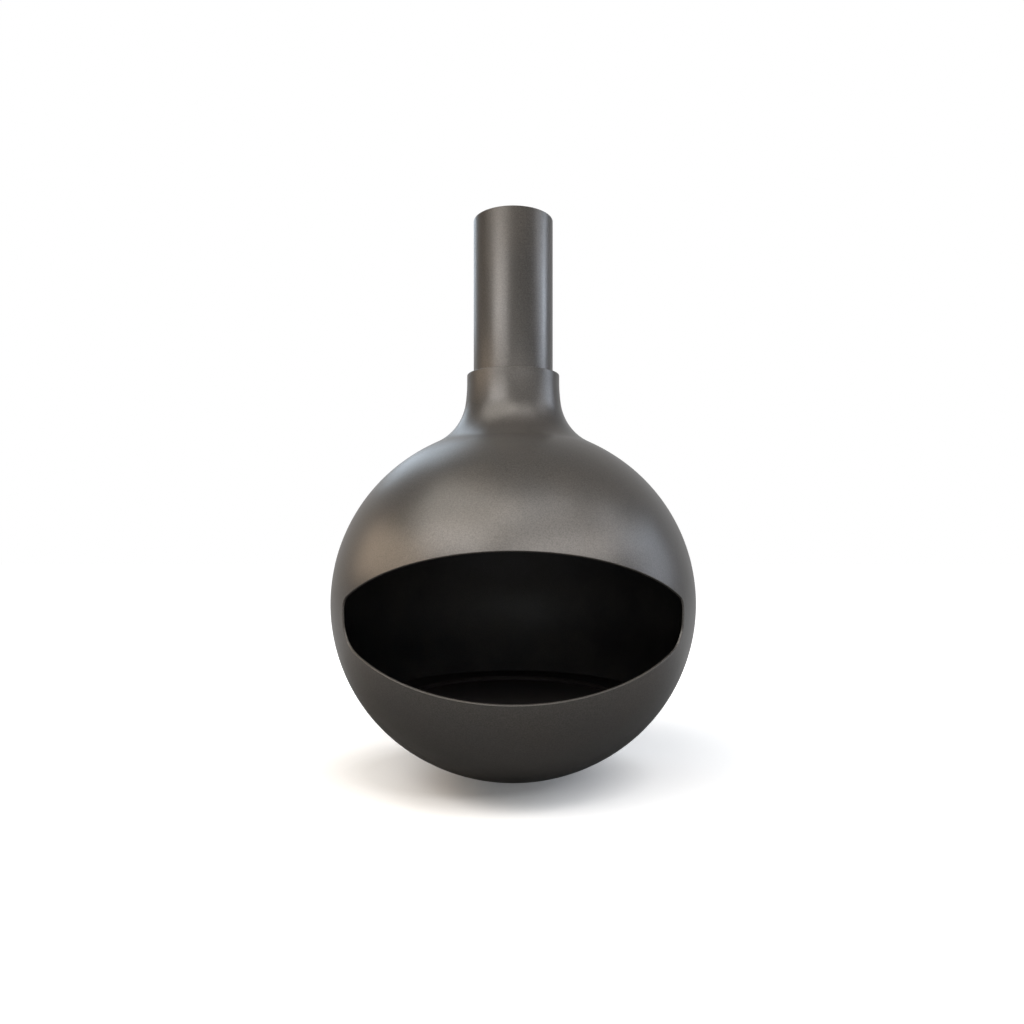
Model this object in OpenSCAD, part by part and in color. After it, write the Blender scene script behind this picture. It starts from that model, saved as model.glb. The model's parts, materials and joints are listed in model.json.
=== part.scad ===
// Hanging fireplace: a steel globe of two pressings with a flared neck and a wide mouth, which hangs from a
// round flue and turns on a ball bearing hidden in its neck. The origin is the centre of the flue's top
// end, the mouth faces -Y and everything hangs below, at negative Z. Lengths are in millimetres.

/* [Globe] */
// Widest diameter of the globe
globe_d = 900; // [750:1:1080]
// Height of the globe from its lowest point to its crown
globe_h = 876; // [730:1:1050]
// Wall thickness of the globe and its neck
shell_t = 5; // [3:0.5:7]

/* [Neck] */
// Room for the bearing between the carrying tube and the neck's bore
neck_room = 11.5; // [11.5:0.5:16]
// Radius of the long waist curve under the straight part of the neck
waist_r = 415.5; // [350:0.5:500]
// Radius of the flare that runs into the globe
flare_r = 133; // [110:1:160]
// How much further out than the neck the flare's narrowest point would lie
flare_out = 2.5; // [1:0.5:10]
// Straight length of the neck under its rim
neck_straight = 16; // [12:1:40]
// Rounding of the rim's outer edge
rim_round = 2; // [0.5:0.5:3]

/* [Mouth] */
// How far in front of the axis the mouth's two cutting planes meet
mouth_apex = 166; // [120:1:200]
// How far below the globe's centre they meet
mouth_drop = 26; // [0:1:60]
// Angle at which the upper plane rises towards the front
mouth_rise = 31.8; // [25:0.1:36]
// Angle at which the lower plane falls towards the front
mouth_fall = 30.2; // [25:0.1:34]
// Angle round the axis from the front to each end of the mouth
mouth_a = 56.9; // [50:0.1:62]
// Rounding of the mouth's two upper corners
mouth_upper_r = 34; // [10:1:36]
// Rounding of the mouth's two lower corners
mouth_lower_r = 72; // [30:1:76]

/* [Flue] */
// Distance from the flue's top end down to the globe's centre
hang_drop = 957; // [800:1:3500]
// Distance from the smoke liner's outside to the outside of the carrying tube
flue_room = 25; // [25:1:35]
// Wall thickness of the carrying tube
flue_t = 3; // [2:0.5:4]
// Outer diameter of the smoke liner
liner_d = 150; // [125:1:180]
// Wall thickness of the smoke liner
liner_t = 1; // [0.6:0.1:1.5]
// Depth of the socket that takes the next section's liner
socket_depth = 50; // [30:1:70]
// Thickness of the coupling ring in the tube's top end
coupling_t = 12; // [8:1:16]
// Distance from the tube's outside to the centres of the coupling bolts
coupling_inset = 12.5; // [11:0.5:14]
// Number of coupling bolts
coupling_bolts = 6; // [4:1:8]
// Diameter of the coupling bolt holes
coupling_hole_d = 9; // [6.5:0.5:9]

/* [Swivel] */
// Thickness of the ring welded inside the neck's rim
swivel_t = 10; // [8:1:12]
// Thickness of each bearing race
race_t = 4; // [3:0.5:5]
// Diameter of the bearing balls
ball_d = 6; // [5:0.5:6.5]
// Number of bearing balls
balls = 36; // [24:1:44]
// Thickness of the hanger flange
hanger_t = 10; // [8:1:12]
// Number of hanger bolts
hanger_bolts_n = 6; // [4:1:8]

/* [Throat and damper] */
// Depth of the throat's lower end below the neck's rim
throat_depth = 162; // [160:1:175]
// Wall thickness of the throat and its flange
throat_t = 1.5; // [1:0.5:2]
// Thickness of the glass rope that seals the liner in the throat
rope_d = 5; // [4:0.5:6]
// Turns of the glass rope
rope_turns = 2; // [1:1:3]
// Height of the damper spindle above the throat's lower end
spindle_rise = 22; // [16:1:24]
// Height of the smoke liner's end above the spindle
liner_rise = 35; // [31:1:40]
// Diameter of the damper spindle
spindle_d = 10; // [8:1:12]
// Thickness of the damper plate
damper_t = 3; // [2:0.5:4]
// Radius of the safety notches that keep some draught when the damper is shut
notch_r = 25; // [15:1:30]
// Distance from the spindle to the centre of the lever's eye
lever_l = 68; // [40:1:70]
// Turns of the friction spring
spring_turns = 5; // [3:1:6]

/* [Hearth] */
// Depth of the hearth ledge below the globe's centre
hearth_drop = 246; // [220:1:260]
// Thickness of the hearth ledge
ledge_t = 4; // [3:0.5:6]
// Width of the ledge, from the wall to its round hole
ledge_w = 85; // [60:1:120]
// Depth of the fire pan's floor below the top of the ledge
pan_depth = 10; // [6:1:20]
// Thickness of the fire pan
pan_t = 3; // [2:0.5:4]
// Number of brackets under the ledge
lugs = 6; // [4:1:10]
// Thickness of the refractory dish
base_t = 35; // [20:1:45]
// Number of segments in the refractory dish
base_segments = 6; // [3:1:8]

/* [Clearances] */
// Running gap between the tube and the guide bush
bush_gap = 0.4; // [0.3:0.05:0.6]
// Radial gap between the spindle and its bushes
spindle_gap = 0.06; // [0.03:0.01:0.09]
// Gap at a seated round face
seat_gap = 0.1; // [0.05:0.05:0.2]
// Gap between two parts that turn past each other
turn_gap = 0.3; // [0.3:0.05:0.5]
// Gap left for heat round the ledge and the pan
heat_gap = 1.5; // [1:0.5:3]
// Room for the liner to grow sideways in the cold rings round it
liner_room = 2.5; // [2:0.5:3]

/* [Hidden] */
$fn = 180;

// The globe's outline: a side arc on each side, and a flatter arc above and below it. The line on which
// they meet rises 4 for every 3 along, so the centres of the arcs are the corners of 3:4:5 triangles.
globe_r = globe_d / 2;
globe_c = globe_h / 2;
shoulder = [3, 4] / 5;
side_x = 1.5 * (globe_r - globe_c);
crown_drop = side_x * 4 / 3;
side_r = globe_r - side_x;
crown_r = globe_c + crown_drop;

// The flue's radii, from which the neck round it is sized
liner_r = liner_d / 2;
flue_r = liner_r + flue_room;
neck_bore_r = flue_r + neck_room;

// The neck's outline: straight, then the waist curve, then the flare that meets the crown arc
neck_r = neck_bore_r + shell_t;
flare_x = neck_r + flare_r + flare_out;
flare_z = sqrt(pow(crown_r + flare_r, 2) - pow(flare_x, 2)) - crown_drop;
waist_x = neck_r + waist_r;
waist_z = flare_z + sqrt(pow(waist_r - flare_r, 2) - pow(waist_x - flare_x, 2));
waist_end_z = waist_z - waist_r * (waist_z - flare_z) / (waist_r - flare_r);
neck_top = waist_z + neck_straight;
rim_z = neck_top - hang_drop;

// The swivel's levels, from the rim down
swivel_recess = 3;
swivel_z = rim_z - swivel_recess - swivel_t;
ball_r = ball_d / 2;
race_gap = 0.6 * ball_d;
upper_race_z = swivel_z - race_t;
ball_z = upper_race_z - race_gap / 2;
lower_race_z = ball_z - race_gap / 2 - race_t;
hanger_z = lower_race_z - hanger_t;

// The swivel's radii, between the tube and the neck's bore
bush_wall = 2.6;
bush_r = flue_r + bush_gap + bush_wall;
race_out_r = neck_bore_r - turn_gap;
race_in_r = flue_r + 2;
ball_pitch_r = (race_in_r + race_out_r) / 2 - 0.5;
hanger_r = neck_bore_r - 1;
end_ring_t = 12;
bolt_d = 8;
hanger_bolt_r = (liner_r + liner_room + flue_r - flue_t) / 2;

// The socket at the liner's top end, and the ring that carries its step
socket_gap = 0.6;
socket_r = liner_r + socket_gap + liner_t;
socket_top = -5;
socket_step = 8;
socket_end = socket_top - socket_depth;
liner_end_step = socket_end - socket_step;
support_t = 3;
wool_ring_t = 2;
wool_ring_z = rim_z + 4;

// The throat, its seat and the levels of what it holds, from its lower end up
throat_bottom = rim_z - throat_depth;
spindle_z = throat_bottom + spindle_rise;
liner_end = spindle_z + liner_rise;
rope_z = liner_end + 3;
throat_r = liner_r + rope_d + seat_gap;
throat_out_r = throat_r + throat_t;
throat_top = hanger_z - 13;
throat_flange_z = rim_z - 64;
throat_flange_t = 2;
throat_seat_t = 6;
throat_seat_in_r = neck_bore_r - 13.5;
throat_screw_r = neck_bore_r - 7;
throat_screws_n = 6;
m6_d = 6;

// The damper
spindle_r = spindle_d / 2;
damper_r = throat_r - 1.5;
bush_len = 10;
bush_out_r = spindle_r + 4;
bush_end = throat_out_r + bush_len;
damper_screw_x = 45;
m5_d = 5;
lever_hub_r = spindle_r + 5;
lever_hub_w = 8;
lever_x = bush_end + turn_gap;
lever_t = 5;
eye_r = 15;
eye_hole_r = 9;
spring_wire_r = 0.8;
spring_r = spindle_r + spring_wire_r + 0.5;
spring_l = 16;
collar_x = -(bush_end + spring_l + 2 * turn_gap);
collar_w = 6;
collar_pin_d = 2.4;

// The hearth, in levels of the globe's own centre
ledge_z = -hearth_drop;
ledge_under = ledge_z - ledge_t;
ledge_r = wall_r(ledge_under, heat_gap);
ledge_hole_r = ledge_r - ledge_w;
ledge_screw_r = ledge_r - 22;
lug_reach = 42;
lug_w = 32;
lug_t = 5;
lug_h = 38;
lug_gap = 0.5;
angle_t = 3;
angle_lip = 16;
pan_r = ledge_hole_r - heat_gap;
pan_floor = ledge_z - pan_depth;
pan_round = 5;
base_top = ledge_under - 50;
base_gap = 0.3;
base_joint = 1;

// Small overlap that keeps cutting faces from lying exactly on each other
cut = 0.02;

// Radius of the shell's inner face at level z of the globe, drawn in by a gap
function wall_r(z, gap) =
    let(side = side_r - shell_t - gap, crown = crown_r - shell_t - gap)
    abs(z) < side * shoulder[1]
        ? side_x + sqrt(side * side - z * z)
        : sqrt(crown * crown - pow(abs(z) + crown_drop, 2));

// A flat ring standing on level z
module ring(r_out, r_in, h, z = 0) {
    translate([0, 0, z]) difference() {
        cylinder(r = r_out, h = h);
        translate([0, 0, -1]) cylinder(r = r_in, h = h + 2);
    }
}

// Copies of a piece round the axis
module around(n, start = 0) {
    for (i = [0 : n - 1]) rotate([0, 0, start + i * 360 / n]) children();
}

// Moves a piece drawn round the globe's centre to its place under the flue
module at_globe() {
    translate([0, 0, -hang_drop]) children();
}

// A length of wall that follows an arc, between the lines from its centre to two points outside it
module arc_band(centre, r_in, r_out, from, to) {
    middle = (from + to) / 2 - centre;
    intersection() {
        translate(centre) difference() {
            circle(r_out);
            circle(r_in);
        }
        polygon([centre, from, centre + 3 * r_out * middle / norm(middle), to]);
    }
}

// The outside of a rounded corner: a square less the quarter circle that rounds it
module corner_waste(r) {
    difference() {
        square(r + 1);
        circle(r + cut);
    }
}

// The region inside the shell's lower half, in the plane of its outline, drawn in by a gap
module bowl_inside(gap) {
    side = side_r - shell_t - gap;
    crown = crown_r - shell_t - gap;
    change = -side * shoulder[1];
    intersection() {
        translate([side_x, 0]) circle(side);
        translate([0, change]) square([globe_d, -change]);
    }
    intersection() {
        translate([0, crown_drop]) circle(crown);
        translate([0, -globe_h]) square([globe_d, globe_h + change + cut]);
    }
}

// The region inside the neck's waist and flare, drawn in by a gap
module neck_inside(gap) {
    difference() {
        translate([0, flare_z - flare_r / 2])
            square([flare_x - flare_r / 2, neck_top - flare_z + flare_r / 2]);
        translate([flare_x, flare_z]) circle(flare_r + shell_t + gap);
        intersection() {
            translate([waist_x, waist_z]) circle(waist_r + shell_t + gap);
            translate([0, waist_end_z]) square([waist_x, waist_r]);
        }
    }
}

// A hexagon-headed bolt with a washer, pointing up from its seat at z = 0
module hex_bolt(d, length) {
    across = 1.625 * d;
    washer_t = 0.2 * d;
    head_h = 0.66 * d;
    cylinder(d = d - seat_gap, h = length);
    translate([0, 0, -washer_t]) cylinder(d = 2 * d, h = washer_t);
    translate([0, 0, -washer_t - head_h]) intersection() {
        cylinder(d = across / cos(30), h = head_h, $fn = 6);
        cylinder(r1 = across * 0.48, r2 = across * 0.48 + head_h, h = head_h, $fn = 64);
    }
}

// The block of air that cuts the mouth: a wedge between two planes that meet on a level line, cut off
// at each end by an upright plane through the axis, with the four corners rounded
module mouth_cut() {
    reach = globe_d;
    inner = 0.6 * globe_r;
    difference() {
        intersection() {
            translate([-reach, -mouth_apex, -mouth_drop]) rotate([90, 0, 90]) linear_extrude(2 * reach)
                polygon([[0, 0], [-reach, reach * tan(mouth_rise)], [-reach, -reach * tan(mouth_fall)]]);
            translate([0, 0, -reach]) linear_extrude(2 * reach) difference() {
                polygon([[0, 0], for (s = [-1, 1]) reach * [s * sin(mouth_a), -cos(mouth_a)]]);
                circle(inner);
            }
        }
        for (side = [-1, 1]) {
            mouth_corner(side, 1, mouth_rise, mouth_upper_r);
            mouth_corner(side, -1, mouth_fall, mouth_lower_r);
        }
    }
}

// What stays of the shell in one corner of the mouth: a prism along the corner's line, less the round bar
// that touches both planes
module mouth_corner(side, up, tilt, r) {
    start = [0, 0, -mouth_drop - up * mouth_apex * tan(tilt)];
    plane_n = [0, -sin(tilt), -up * cos(tilt)];
    end_n = [-side * cos(mouth_a), -sin(mouth_a), 0];
    line = [side * sin(mouth_a), -cos(mouth_a), up * cos(mouth_a) * tan(tilt)];
    along = line / norm(line);
    middle = (plane_n + end_n) / norm(plane_n + end_n);
    across = cross(along, middle);
    half = middle * plane_n;
    centre = r / half;
    chord = centre - r * half;
    multmatrix([for (i = [0 : 2]) [middle[i], across[i], along[i], start[i]]])
        translate([0, 0, globe_r / 2]) linear_extrude(globe_r) difference() {
            translate([-r, -2 * r]) square([chord + r, 4 * r]);
            translate([centre, 0]) circle(r + cut);
        }
}

module flue_pipe() {
    color("#5a5754") ring(flue_r, flue_r - flue_t, -(lower_race_z), lower_race_z);
}

module coupling_ring() {
    color("#5a5754") difference() {
        ring(flue_r - flue_t - seat_gap, socket_r + heat_gap, coupling_t, -coupling_t);
        around(coupling_bolts) translate([flue_r - coupling_inset, 0, -coupling_t - 1])
            cylinder(d = coupling_hole_d, h = coupling_t + 2);
    }
}

module flue_liner() {
    color("#a7a6a3") rotate_extrude() {
        polygon([
            [liner_r, liner_end], [liner_r, liner_end_step], [socket_r, socket_end], [socket_r, socket_top],
            [socket_r - liner_t, socket_top], [socket_r - liner_t, socket_end],
            [liner_r - liner_t, liner_end_step], [liner_r - liner_t, liner_end]
        ]);
    }
}

module liner_support() {
    color("#6b6a68")
        ring(flue_r - flue_t - seat_gap, liner_r + seat_gap, support_t, liner_end_step - support_t);
}

module liner_insulation() {
    top = liner_end_step - support_t - turn_gap;
    bottom = wool_ring_z + wool_ring_t;
    color("#e4dfd2") ring(flue_r - flue_t - turn_gap, liner_r + turn_gap, top - bottom, bottom);
}

module wool_ring() {
    color("#6b6a68") ring(flue_r - flue_t - seat_gap, liner_r + liner_room, wool_ring_t, wool_ring_z);
}

module pipe_end_ring() {
    color("#6b6a68") difference() {
        ring(flue_r - flue_t - seat_gap, liner_r + liner_room, end_ring_t, lower_race_z);
        around(hanger_bolts_n) translate([hanger_bolt_r, 0, lower_race_z - 1])
            cylinder(d = bolt_d, h = end_ring_t + 2);
    }
}

module hanger_flange() {
    color("#6b6a68") difference() {
        ring(hanger_r, liner_r + liner_room, hanger_t, hanger_z);
        around(hanger_bolts_n) translate([hanger_bolt_r, 0, hanger_z - 1])
            cylinder(d = bolt_d + 0.4, h = hanger_t + 2);
    }
}

module hanger_bolts() {
    color("#8d8c8a") around(hanger_bolts_n) translate([hanger_bolt_r, 0, hanger_z])
        hex_bolt(bolt_d, hanger_t + end_ring_t - 1);
}

// One race of the bearing, whose groove leaves a running gap round the balls
module race(r_out, r_in, z) {
    rotate_extrude() difference() {
        translate([r_in, z]) square([r_out - r_in, race_t]);
        translate([ball_pitch_r, ball_z]) circle(ball_r + turn_gap, $fn = 64);
    }
}

module lower_race() {
    color("#b9b9b8") race(race_out_r - 1, flue_r + turn_gap, lower_race_z);
}

module upper_race() {
    color("#b9b9b8") race(race_out_r, race_in_r, upper_race_z);
}

module ball_cage() {
    cage_t = race_gap - 1.6;
    cage_w = ball_d + 1.4;
    color("#b08d57") difference() {
        ring(ball_pitch_r + cage_w / 2, ball_pitch_r - cage_w / 2, cage_t, ball_z - cage_t / 2);
        around(balls) translate([ball_pitch_r, 0, ball_z - cage_t])
            cylinder(d = ball_d + turn_gap, h = 2 * cage_t, $fn = 32);
    }
}

module bearing_balls() {
    color("#cfcfd0") around(balls) translate([ball_pitch_r, 0, ball_z]) sphere(ball_r, $fn = 24);
}

module swivel_ring() {
    color("#6b6a68") ring(neck_bore_r - seat_gap, bush_r, swivel_t, swivel_z);
}

module guide_bush() {
    collar_t = 1.5;
    color("#a5793f") rotate_extrude() {
        translate([flue_r + bush_gap, swivel_z]) square([bush_wall - seat_gap, swivel_t + collar_t]);
        translate([flue_r + bush_gap, swivel_z + swivel_t]) square([bush_wall + 3, collar_t]);
    }
}

// Where the arcs of the shell's wall meet: each point lies on the line through the centres of both arcs
side_centre = [side_x, 0];
crown_centre = [0, -crown_drop];
flare_centre = [flare_x, flare_z];
waist_centre = [waist_x, waist_z];
upper_shoulder = side_centre + 2 * side_r * shoulder;
lower_shoulder = [upper_shoulder[0], -upper_shoulder[1]];
flare_seam = 2 * flare_centre - waist_centre;
waist_seam = waist_centre - [2 * waist_r, 0];

// The wall at the side, which the mouth cuts: the lower or the upper half of the side arc
module side_outline(upper) {
    widest = side_centre + [2 * side_r, 0];
    arc_band(side_centre, side_r - shell_t, side_r,
        upper ? widest : lower_shoulder, upper ? upper_shoulder : widest);
}

// The wall below the side
module dish_outline() {
    arc_band(-crown_centre, crown_r - shell_t, crown_r, [0, -2 * globe_h], lower_shoulder);
}

// The wall above the side, from the crown through the flare to the rim
module crown_outline() {
    arc_band(crown_centre, crown_r - shell_t, crown_r, upper_shoulder, flare_centre);
    arc_band(flare_centre, flare_r, flare_r + shell_t, crown_centre, flare_seam);
    arc_band(waist_centre, waist_r, waist_r + shell_t, flare_seam, waist_seam);
    difference() {
        translate([neck_bore_r, waist_z]) square([shell_t, neck_straight]);
        translate([neck_r - rim_round, neck_top - rim_round]) corner_waste(rim_round);
    }
}

// One of the two pressings that are welded at the globe's widest level and ground flush. The side is
// revolved in gores, narrow ones over the mouth, whose faces end where the mouth's edge runs
module pressing(upper) {
    gores = [270, 274, 279, 290, 610, 621, 626, 630];
    color("#5a5754") at_globe() difference() {
        union() {
            rotate_extrude() children();
            for (i = [1 : len(gores) - 1])
                rotate_extrude(angle = gores[i] - gores[i - 1], start = gores[i - 1]) side_outline(upper);
        }
        mouth_cut();
    }
}

module globe_top() {
    pressing(true) crown_outline();
}

module globe_bottom() {
    pressing(false) dish_outline();
}

module throat_seat() {
    color("#6b6a68") difference() {
        at_globe() rotate_extrude() intersection() {
            translate([throat_seat_in_r, throat_flange_z + throat_flange_t + hang_drop])
                square([flare_x - throat_seat_in_r, throat_seat_t]);
            neck_inside(seat_gap);
        }
        around(throat_screws_n) translate([throat_screw_r, 0, throat_flange_z])
            cylinder(d = m6_d, h = throat_flange_t + throat_seat_t + 1);
    }
}

module throat() {
    flange_r = neck_bore_r;
    color("#4b4947") difference() {
        rotate_extrude() {
            translate([throat_r, throat_bottom]) square([throat_t, throat_top - throat_bottom]);
            translate([throat_r, throat_flange_z]) square([flange_r - throat_r, throat_flange_t]);
        }
        around(throat_screws_n) translate([throat_screw_r, 0, throat_flange_z - 1])
            cylinder(d = m6_d + 0.6, h = throat_flange_t + 2);
        translate([-2 * throat_r, 0, spindle_z]) rotate([0, 90, 0])
            cylinder(r = spindle_r + turn_gap, h = 4 * throat_r);
    }
}

module throat_screws() {
    color("#8d8c8a") around(throat_screws_n) translate([throat_screw_r, 0, throat_flange_z])
        hex_bolt(m6_d, throat_flange_t + throat_seat_t - 1);
}

module seal_rope() {
    color("#d8d2c2") for (i = [0 : rope_turns - 1]) rotate_extrude()
        translate([liner_r + (rope_d + seat_gap) / 2, rope_z + (i + 0.5) * (rope_d + seat_gap)])
            circle(d = rope_d, $fn = 64);
}

module damper_bushes() {
    color("#a5793f") for (side = [-1, 1]) difference() {
        translate([side * (throat_out_r - 2), 0, spindle_z]) rotate([0, side * 90, 0])
            cylinder(r = bush_out_r, h = bush_len + 2);
        cylinder(r = throat_out_r + seat_gap, h = 4 * hang_drop, center = true);
        translate([-2 * throat_r, 0, spindle_z]) rotate([0, 90, 0])
            cylinder(r = spindle_r + spindle_gap, h = 4 * throat_r);
    }
}

module damper_plate() {
    color("#4b4947") translate([0, 0, spindle_z]) rotate([90, 0, 0]) difference() {
        cylinder(r = damper_r, h = damper_t, center = true);
        for (side = [-1, 1]) translate([0, side * damper_r, 0])
            cylinder(r = notch_r, h = 2 * damper_t, center = true);
        for (side = [-1, 1]) translate([side * damper_screw_x, 0, 0])
            cylinder(d = m5_d + seat_gap, h = 2 * damper_t, center = true);
    }
}

module damper_spindle() {
    slot = damper_t + 2 * seat_gap;
    left = collar_x - collar_w - 3;
    right = lever_x + lever_hub_w + 2;
    color("#9a9896") translate([0, 0, spindle_z]) difference() {
        translate([left, 0, 0]) rotate([0, 90, 0]) cylinder(r = spindle_r, h = right - left);
        translate([-damper_r - turn_gap, -slot / 2, -spindle_d])
            cube([2 * (damper_r + turn_gap), slot, 2 * spindle_d]);
        for (side = [-1, 1]) translate([side * damper_screw_x, 0, 0]) rotate([90, 0, 0])
            cylinder(d = m5_d + seat_gap, h = 2 * spindle_d, center = true);
        translate([collar_x - collar_w / 2, 0, 0])
            cylinder(d = collar_pin_d + seat_gap, h = 2 * spindle_d, center = true);
    }
}

module damper_screws() {
    head_h = 2.8;
    color("#8d8c8a") for (side = [-1, 1]) translate([side * damper_screw_x, 0, spindle_z])
        rotate([90, 0, 0]) {
            translate([0, 0, -spindle_r - 1]) cylinder(d = m5_d - seat_gap, h = spindle_d + 1.5, $fn = 48);
            translate([0, 0, spindle_r + 0.5]) difference() {
                cylinder(d = 1.7 * m5_d, h = head_h, $fn = 48);
                translate([0, 0, head_h / 2]) cylinder(d = 0.6 * m5_d / cos(30), h = head_h, $fn = 6);
            }
        }
}

module damper_lever() {
    color("#4b4947") translate([lever_x, 0, spindle_z]) rotate([0, 90, 0]) difference() {
        union() {
            cylinder(r = lever_hub_r, h = lever_hub_w);
            translate([0, -lever_hub_r * 0.6, lever_hub_w - lever_t])
                cube([lever_l - eye_r + 2, lever_hub_r * 1.2, lever_t]);
            translate([lever_l, 0, lever_hub_w - lever_t]) cylinder(r = eye_r, h = lever_t);
        }
        translate([0, 0, -1]) cylinder(r = spindle_r + seat_gap, h = lever_hub_w + 2);
        translate([lever_l, 0, -1]) cylinder(r = eye_hole_r, h = lever_hub_w + 2);
        translate([-lever_hub_r - 1, 0, lever_hub_w / 2]) rotate([0, 90, 0])
            cylinder(d = m5_d + seat_gap, h = lever_hub_r);
    }
}

module lever_screw() {
    length = lever_hub_r - spindle_r - 2 * seat_gap;
    color("#8d8c8a") translate([lever_x + lever_hub_w / 2, 0, spindle_z + spindle_r + seat_gap])
        difference() {
            cylinder(d = m5_d, h = length, $fn = 48);
            translate([0, 0, length - 2]) cylinder(d = 0.5 * m5_d / cos(30), h = 3, $fn = 6);
        }
}

// A round wire swept along a helix round the X axis, as one closed skin
module coil(r, wire_r, turns, length, sides = 6, steps = 16) {
    rings = turns * steps;
    points = [
        for (i = [0 : rings], j = [0 : sides - 1])
            let(turn = i * 360 / steps, around_wire = j * 360 / sides, out = r + wire_r * cos(around_wire))
            [length * i / rings + wire_r * sin(around_wire), out * cos(turn), out * sin(turn)]
    ];
    skin = [
        for (i = [0 : rings - 1], j = [0 : sides - 1])
            let(a = i * sides + j, b = i * sides + (j + 1) % sides)
            each [[a, a + sides, b + sides], [a, b + sides, b]]
    ];
    start_cap = [for (j = [1 : sides - 2]) [0, j, j + 1]];
    last = rings * sides;
    end_cap = [for (j = [1 : sides - 2]) [last, last + j + 1, last + j]];
    polyhedron(points, concat(skin, start_cap, end_cap));
}

module damper_spring() {
    travel = spring_l - 2 * spring_wire_r;
    color("#b9b9b8") translate([-bush_end - turn_gap - spring_wire_r - travel, 0, spindle_z])
        coil(spring_r, spring_wire_r, spring_turns, travel);
}

module spring_collar() {
    color("#9a9896") translate([collar_x - collar_w, 0, spindle_z]) difference() {
        rotate([0, 90, 0]) cylinder(r = bush_out_r, h = collar_w);
        translate([-1, 0, 0]) rotate([0, 90, 0]) cylinder(r = spindle_r + seat_gap, h = collar_w + 2);
        translate([collar_w / 2, 0, 0])
            cylinder(d = collar_pin_d + seat_gap, h = 4 * bush_out_r, center = true);
    }
}

module collar_pin() {
    color("#8d8c8a") translate([collar_x - collar_w / 2, 0, spindle_z])
        cylinder(d = collar_pin_d, h = 2 * bush_out_r + 3, center = true, $fn = 32);
}

// An upright plate across the bowl's radius, cut to a profile and to the bowl's wall
module bowl_plate(t, profile) {
    rotate([90, 0, 0]) linear_extrude(t, center = true) intersection() {
        polygon(profile);
        bowl_inside(lug_gap);
    }
}

// A folded bracket welded to the wall: a tab under the ledge and a cheek down each side
module hearth_lug() {
    in_r = ledge_r - lug_reach;
    out_r = ledge_r + lug_reach;
    tab_under = ledge_under - lug_t;
    cheek_under = ledge_under - lug_h;
    difference() {
        union() {
            bowl_plate(lug_w, [[in_r, ledge_under], [out_r, ledge_under],
                [out_r, tab_under], [in_r, tab_under]]);
            for (side = [-1, 1]) translate([0, side * (lug_w - lug_t) / 2, 0])
                bowl_plate(lug_t, [[in_r, ledge_under], [out_r, ledge_under], [out_r, cheek_under],
                    [in_r + lug_reach / 2, cheek_under], [in_r, tab_under - lug_t]]);
        }
        translate([ledge_screw_r, 0, tab_under - 1]) cylinder(d = m6_d, h = lug_t + 2);
    }
}

module hearth_lugs() {
    color("#6b6a68") at_globe() around(lugs, 180 / lugs) hearth_lug();
}

module hearth_ring() {
    color("#2f2d2b") at_globe() difference() {
        ring(ledge_r, ledge_hole_r, ledge_t, ledge_under);
        around(lugs, 180 / lugs) translate([ledge_screw_r, 0, ledge_under]) {
            translate([0, 0, -1]) cylinder(d = m6_d + 0.6, h = ledge_t + 2);
            translate([0, 0, ledge_t - m6_d / 2])
                cylinder(d1 = m6_d, d2 = 2 * m6_d + 0.2, h = m6_d / 2 + 0.1);
        }
    }
}

module hearth_screws() {
    color("#8d8c8a") at_globe() around(lugs, 180 / lugs) translate([ledge_screw_r, 0, ledge_z]) difference() {
        union() {
            translate([0, 0, -ledge_t - lug_t - 2]) cylinder(d = m6_d - seat_gap, h = ledge_t + lug_t);
            translate([0, 0, -m6_d / 2])
                cylinder(d1 = m6_d - seat_gap, d2 = 2 * m6_d - seat_gap, h = m6_d / 2);
        }
        translate([0, 0, -2]) cylinder(d = 4 / cos(30), h = 4, $fn = 6);
    }
}

module pan_ledge() {
    foot = pan_floor - pan_t - angle_t;
    color("#2f2d2b") at_globe() rotate_extrude() {
        translate([ledge_hole_r, foot]) square([angle_t, ledge_under - foot]);
        translate([ledge_hole_r - angle_lip, foot]) square([angle_lip + angle_t / 2, angle_t]);
    }
}

// The pan's outline: a flat floor, a rounded corner and a short upright rim
module pan_outline(r, bottom, top, corner) {
    difference() {
        translate([0, bottom]) square([r, top - bottom]);
        translate([r - corner, bottom + corner]) mirror([0, 1]) corner_waste(corner);
    }
}

module fire_pan() {
    under = pan_floor - pan_t;
    color("#3a3836") at_globe() rotate_extrude() difference() {
        pan_outline(pan_r, under, ledge_z - 1, pan_round);
        pan_outline(pan_r - pan_t, pan_floor, ledge_z + 1, pan_round - pan_t);
    }
}

// The dish is cast in segments, with a joint between them that lets them grow in the heat
module refractory_base() {
    color("#a39884") at_globe() difference() {
        rotate_extrude() intersection() {
            difference() {
                bowl_inside(base_gap);
                bowl_inside(base_gap + base_t);
            }
            translate([0, -globe_h]) square([globe_d, globe_h + base_top]);
        }
        around(base_segments) translate([-1, -base_joint / 2, -globe_h])
            cube([globe_d, base_joint, globe_h]);
    }
}

flue_pipe();
coupling_ring();
flue_liner();
liner_support();
liner_insulation();
wool_ring();
pipe_end_ring();
hanger_flange();
hanger_bolts();
lower_race();
ball_cage();
bearing_balls();
upper_race();
swivel_ring();
guide_bush();
globe_top();
globe_bottom();
throat_seat();
throat();
throat_screws();
seal_rope();
damper_bushes();
damper_plate();
damper_spindle();
damper_screws();
damper_lever();
lever_screw();
damper_spring();
spring_collar();
collar_pin();
hearth_lugs();
hearth_ring();
hearth_screws();
pan_ledge();
fire_pan();
refractory_base();
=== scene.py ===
import json
import math

import bmesh
import bpy
import numpy as np
from bpy.props import FloatProperty, FloatVectorProperty, IntProperty, PointerProperty
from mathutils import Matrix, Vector
from mathutils.geometry import delaunay_2d_cdt


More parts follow.
